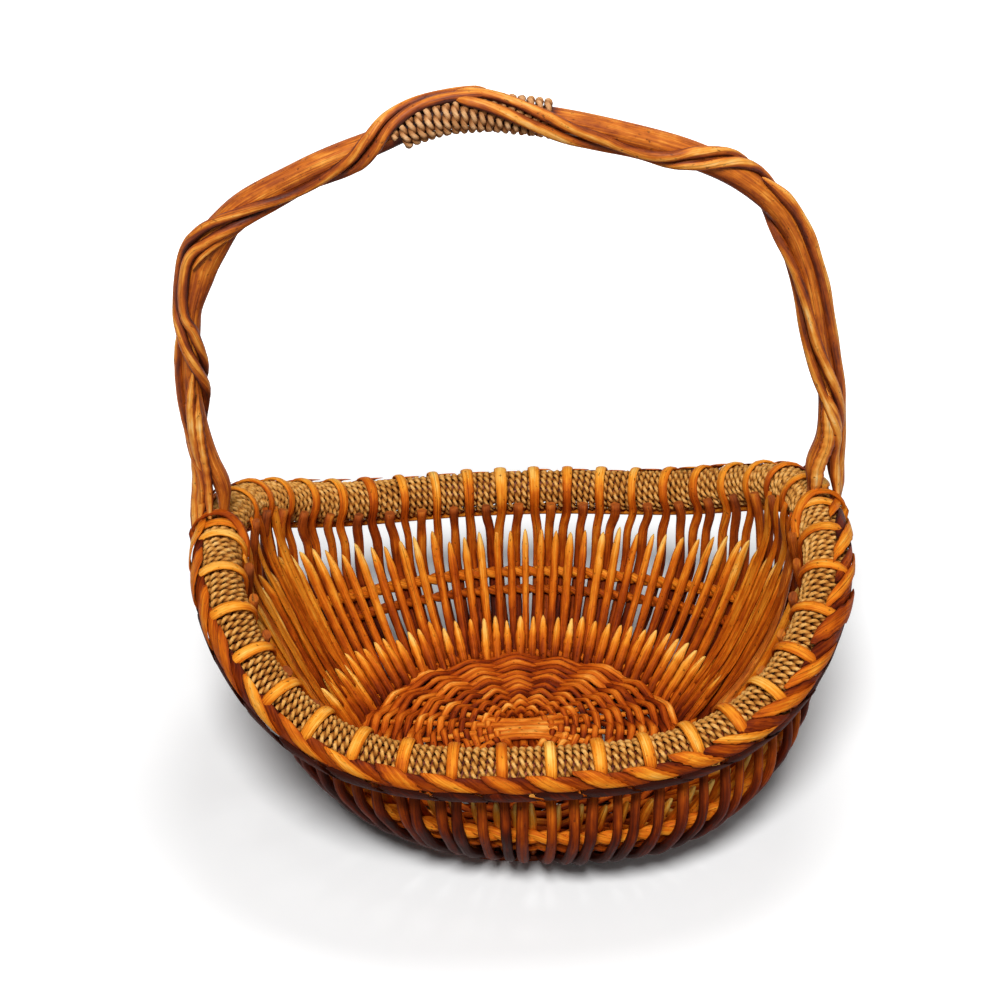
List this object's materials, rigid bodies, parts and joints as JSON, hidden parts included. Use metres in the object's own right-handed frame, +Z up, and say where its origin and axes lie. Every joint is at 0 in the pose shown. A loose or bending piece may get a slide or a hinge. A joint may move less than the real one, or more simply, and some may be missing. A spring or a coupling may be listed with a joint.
{
  "type": "gathering basket",
  "caption": "Open willow basket with a domed woven base, spaced stake wall, rope-wound rim with swept-up ends, rolled border and a fixed twisted overhead handle with a rope grip.",
  "frame": {"origin": "on the floor under the middle of the basket's bounding box", "axes": "+X along the handle's span, +Y towards the back, +Z up"},
  "size_m": [0.4357, 0.3739, 0.49],
  "materials": {
    "willow_rod": "satin varnish",
    "willow_strap": "satin varnish",
    "willow_base": "satin varnish",
    "seagrass_rope": "twisted grass, matte"
  },
  "bodies": {
    "root": {"base_sticks_crosswise": "willow_base", "base_sticks_lengthwise": "willow_base", "base_weave": "willow_base", "foot_hoop": "willow_rod", "grip_rope": "seagrass_rope", "handle_bow": "willow_rod", "rim_border_plait": "willow_strap", "rim_core": "willow_rod", "rim_rope_winding": "seagrass_rope", "stake_pair_01": "willow_rod", "stake_pair_02": "willow_rod", "stake_pair_03": "willow_rod", "stake_pair_04": "willow_rod", "stake_pair_05": "willow_rod", "stake_pair_06": "willow_rod", "stake_pair_07": "willow_rod", "stake_pair_08": "willow_rod", "stake_pair_09": "willow_rod", "stake_pair_10": "willow_rod", "stake_pair_11": "willow_rod", "stake_pair_12": "willow_rod", "stake_pair_13": "willow_rod", "stake_pair_14": "willow_rod", "stake_pair_15": "willow_rod", "stake_pair_16": "willow_rod", "stake_pair_17": "willow_rod", "stake_pair_18": "willow_rod", "stake_pair_19": "willow_rod", "stake_pair_20": "willow_rod", "stake_pair_22": "willow_rod", "stake_pair_23": "willow_rod", "stake_pair_24": "willow_rod", "stake_pair_25": "willow_rod", "stake_pair_26": "willow_rod", "stake_pair_27": "willow_rod", "stake_pair_28": "willow_rod", "stake_pair_29": "willow_rod", "stake_pair_30": "willow_rod", "stake_pair_31": "willow_rod", "stake_pair_32": "willow_rod", "stake_pair_33": "willow_rod", "stake_pair_34": "willow_rod", "stake_pair_35": "willow_rod", "stake_pair_36": "willow_rod", "stake_pair_37": "willow_rod", "stake_pair_38": "willow_rod", "stake_pair_39": "willow_rod", "stake_pair_40": "willow_rod", "stake_pair_41": "willow_rod", "tie_left": "willow_strap", "tie_right": "willow_strap", "twist_rod_left_back": "willow_rod", "twist_rod_left_front": "willow_rod", "twist_rod_right_back": "willow_rod", "twist_rod_right_front": "willow_rod", "upper_hoop": "willow_rod", "wale_lower": "willow_rod", "wale_upper": "willow_rod"}
  },
  "joints": []
}
